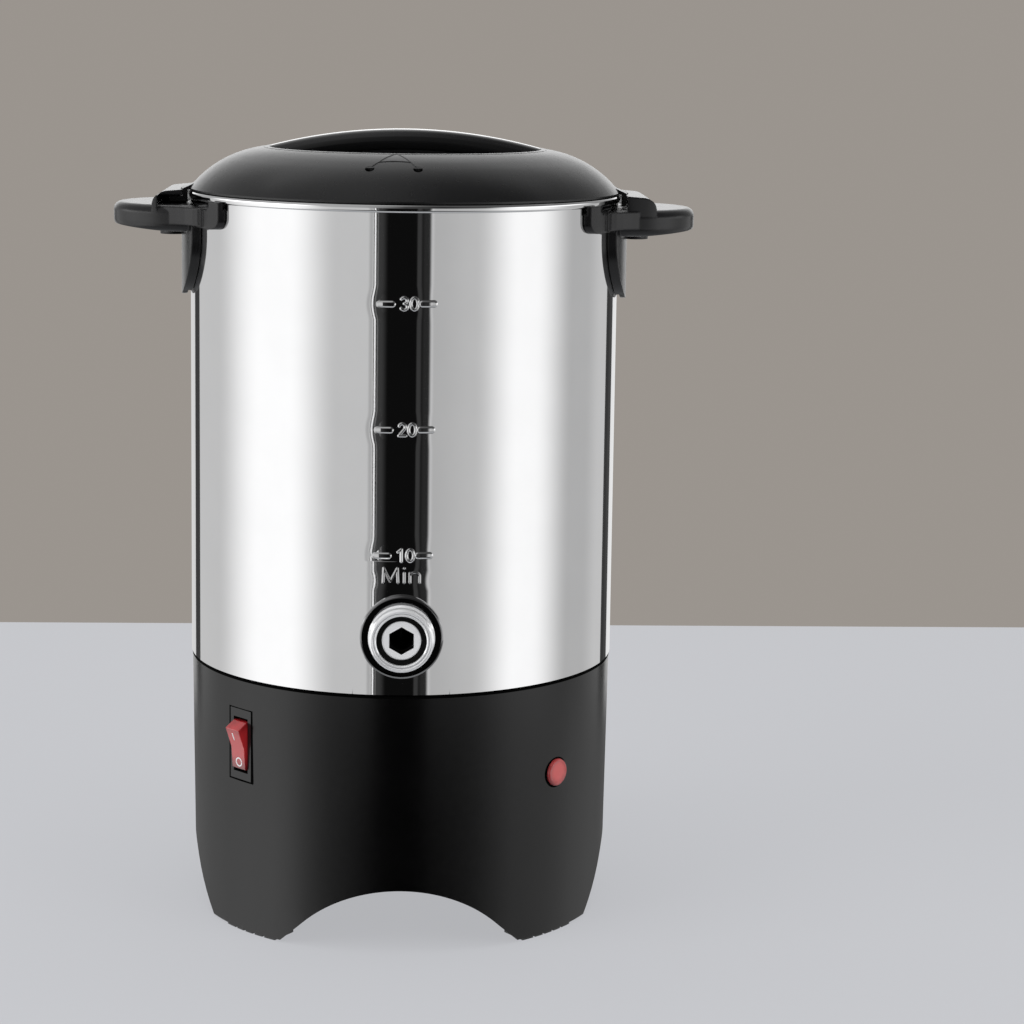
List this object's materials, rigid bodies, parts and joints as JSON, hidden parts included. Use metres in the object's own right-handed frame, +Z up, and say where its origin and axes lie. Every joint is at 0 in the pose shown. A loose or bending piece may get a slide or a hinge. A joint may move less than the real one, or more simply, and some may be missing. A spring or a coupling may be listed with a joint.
{
  "type": "coffee urn",
  "caption": "Percolating coffee urn: mirror steel tank on a black moulded base with arches, twist-lock lid with grip, side handles, open tap port, rocker switch and lamp.",
  "frame": {"origin": "the tank's axis on the standing plane, under the rubber feet", "axes": "+Z up along the tank's axis, -Y towards the front, where the tap port is, +X to the right seen from the front"},
  "size_m": [0.261, 0.2112, 0.3521],
  "materials": {
    "tank_steel": "mirror-polished stainless steel",
    "handle_black": "satin black phenolic",
    "lid_black": "satin black moulding",
    "grip_gloss": "gloss black moulding",
    "collar_chrome": "polished chrome plate",
    "seal_rubber": "black rubber",
    "silicone_red": "red silicone",
    "base_black": "satin black polypropylene",
    "zinc_steel": "zinc-plated steel",
    "brass": "bright brass",
    "switch_black": "black nylon",
    "switch_red": "translucent red",
    "lens_red": "translucent pink-red",
    "lamp_glass": "neon lamp glass",
    "element_sheath": "heat-tinted steel sheath",
    "aluminium": "plain aluminium",
    "fuse_sleeve": "glass-fibre sleeve",
    "block_white": "natural nylon",
    "basket_metal": "bright aluminium"
  },
  "bodies": {
    "root": {"tank_shell": "tank_steel", "handle_left": "handle_black", "handle_right": "handle_black", "handle_inserts": "brass", "handle_screws": "zinc_steel", "handle_washers": "silicone_red", "port_washer": "seal_rubber", "port_collar": "collar_chrome", "port_seal_ring": "seal_rubber", "port_nipple": "collar_chrome", "port_inner_washer": "silicone_red", "base_skirt": "base_black", "base_plate": "base_black", "base_plate_screws": "zinc_steel", "rubber_feet": "seal_rubber", "tank_studs": "zinc_steel", "tank_stud_washers": "zinc_steel", "tank_stud_nuts": "zinc_steel", "switch_housing": "switch_black", "switch_terminals": "brass", "indicator_lens": "lens_red", "indicator_lamp": "lamp_glass", "indicator_clip": "zinc_steel", "heating_element": "element_sheath", "heat_plate": "aluminium", "thermostat": "switch_black", "thermostat_bridge": "zinc_steel", "bridge_screws": "zinc_steel", "thermal_fuse": "fuse_sleeve", "terminal_block": "block_white", "terminal_screws": "brass", "cord_gland": "seal_rubber", "cord_gland_nut": "switch_black", "pump_tube": "basket_metal", "pump_bell": "basket_metal", "pump_valve_disc": "basket_metal", "coffee_basket": "basket_metal", "basket_cover": "basket_metal"},
    "lid": {"lid_shell": "lid_black", "lid_grip": "grip_gloss", "lid_grip_screws": "zinc_steel"},
    "rocker": {"switch_rocker": "switch_red"}
  },
  "joints": [
    {"name": "lid_twist", "type": "hinge", "parent": "root", "child": "lid", "pos_m": [0, 0, 0.3245], "axis": [0, 0, 1], "range_deg": [0, 22]},
    {"name": "rocker_tip", "type": "hinge", "parent": "root", "child": "rocker", "pos_m": [-0.06762, -0.0624, 0.085], "axis": [-0.6782, 0.7349, 0], "range_deg": [0, 24]}
  ]
}
